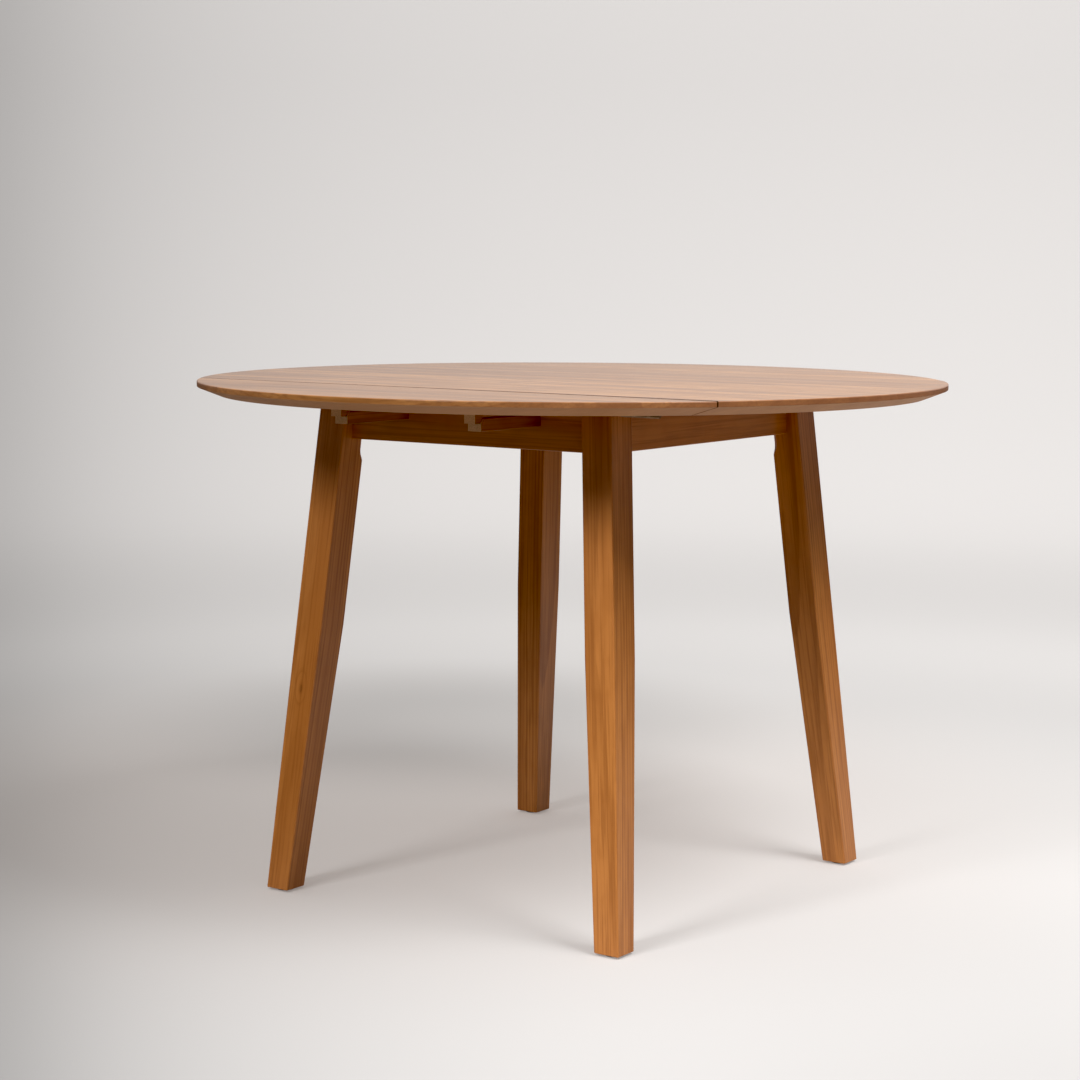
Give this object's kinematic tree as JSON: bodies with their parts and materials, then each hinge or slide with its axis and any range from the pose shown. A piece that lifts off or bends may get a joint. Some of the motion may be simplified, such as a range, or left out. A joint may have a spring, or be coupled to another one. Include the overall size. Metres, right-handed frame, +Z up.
{
  "type": "drop-leaf table",
  "caption": "Round wooden drop-leaf table on splayed tapered legs: half-moon leaves hinged to a centre panel, held up by bars that slide out of the frame.",
  "frame": {"origin": "on the floor under the middle of the top", "axes": "+Z up; X along the grain and the hinge lines; -Y is the front"},
  "size_m": [1.0999, 1.1, 0.75],
  "materials": {
    "top_wood": "satin lacquer",
    "frame_wood": "satin lacquer",
    "raw_wood": "bare, sanded",
    "steel": "zinc plated",
    "glide": "matte"
  },
  "bodies": {
    "frame": {"bar_guide_left": "raw_wood", "bar_guide_right": "raw_wood", "block_screws": "steel", "bolt_nuts": "steel", "bolt_washers": "steel", "bracket_screws": "steel", "centre_panel": "top_wood", "corner_block_front_left": "raw_wood", "corner_block_front_right": "raw_wood", "corner_block_rear_left": "raw_wood", "corner_block_rear_right": "raw_wood", "front_hinge_fixed_left": "steel", "front_hinge_fixed_middle": "steel", "front_hinge_fixed_right": "steel", "front_rail": "frame_wood", "glide_front_left": "glide", "glide_front_right": "glide", "glide_rear_left": "glide", "glide_rear_right": "glide", "guide_screws": "steel", "hanger_bolts": "steel", "hinge_pins": "steel", "left_rail": "frame_wood", "leg_front_left": "frame_wood", "leg_front_right": "frame_wood", "leg_rear_left": "frame_wood", "leg_rear_right": "frame_wood", "panel_hinge_screws": "steel", "rear_hinge_fixed_left": "steel", "rear_hinge_fixed_middle": "steel", "rear_hinge_fixed_right": "steel", "rear_rail": "frame_wood", "right_rail": "frame_wood", "top_brackets": "steel"},
    "front_wing": {"catch_block_front_left": "raw_wood", "catch_block_front_right": "raw_wood", "front_catch_screws": "steel", "front_hinge_leaf_left": "steel", "front_hinge_leaf_middle": "steel", "front_hinge_leaf_right": "steel", "front_leaf": "top_wood", "front_leaf_hinge_screws": "steel"},
    "rear_wing": {"catch_block_rear_left": "raw_wood", "catch_block_rear_right": "raw_wood", "rear_catch_screws": "steel", "rear_hinge_leaf_left": "steel", "rear_hinge_leaf_middle": "steel", "rear_hinge_leaf_right": "steel", "rear_leaf": "top_wood", "rear_leaf_hinge_screws": "steel"},
    "bar_front_left": {"stop_peg_front_left": "raw_wood", "support_bar_front_left": "raw_wood"},
    "bar_front_right": {"stop_peg_front_right": "raw_wood", "support_bar_front_right": "raw_wood"},
    "bar_rear_left": {"stop_peg_rear_left": "raw_wood", "support_bar_rear_left": "raw_wood"},
    "bar_rear_right": {"stop_peg_rear_right": "raw_wood", "support_bar_rear_right": "raw_wood"}
  },
  "joints": [
    {"name": "front_leaf_hinge", "type": "hinge", "parent": "frame", "child": "front_wing", "pos_m": [0, -0.32, 0.7266], "axis": [1, 0, 0], "range_deg": [0, 90]},
    {"name": "front_left_bar_slide", "type": "slide", "parent": "frame", "child": "bar_front_left", "axis": [0, 1, 0], "range_m": [0, 0.15]},
    {"name": "front_right_bar_slide", "type": "slide", "parent": "frame", "child": "bar_front_right", "axis": [0, 1, 0], "range_m": [0, 0.15]},
    {"name": "rear_leaf_hinge", "type": "hinge", "parent": "frame", "child": "rear_wing", "pos_m": [0, 0.32, 0.7266], "axis": [-1, 0, 0], "range_deg": [0, 90]},
    {"name": "rear_left_bar_slide", "type": "slide", "parent": "frame", "child": "bar_rear_left", "axis": [0, -1, 0], "range_m": [0, 0.15]},
    {"name": "rear_right_bar_slide", "type": "slide", "parent": "frame", "child": "bar_rear_right", "axis": [0, -1, 0], "range_m": [0, 0.15]}
  ],
  "couplings": [
    {"joint": "front_left_bar_slide", "follows": "front_leaf_hinge", "m_per_rad": 0.09549},
    {"joint": "front_right_bar_slide", "follows": "front_leaf_hinge", "m_per_rad": 0.09549},
    {"joint": "rear_left_bar_slide", "follows": "rear_leaf_hinge", "m_per_rad": 0.09549},
    {"joint": "rear_right_bar_slide", "follows": "rear_leaf_hinge", "m_per_rad": 0.09549}
  ]
}
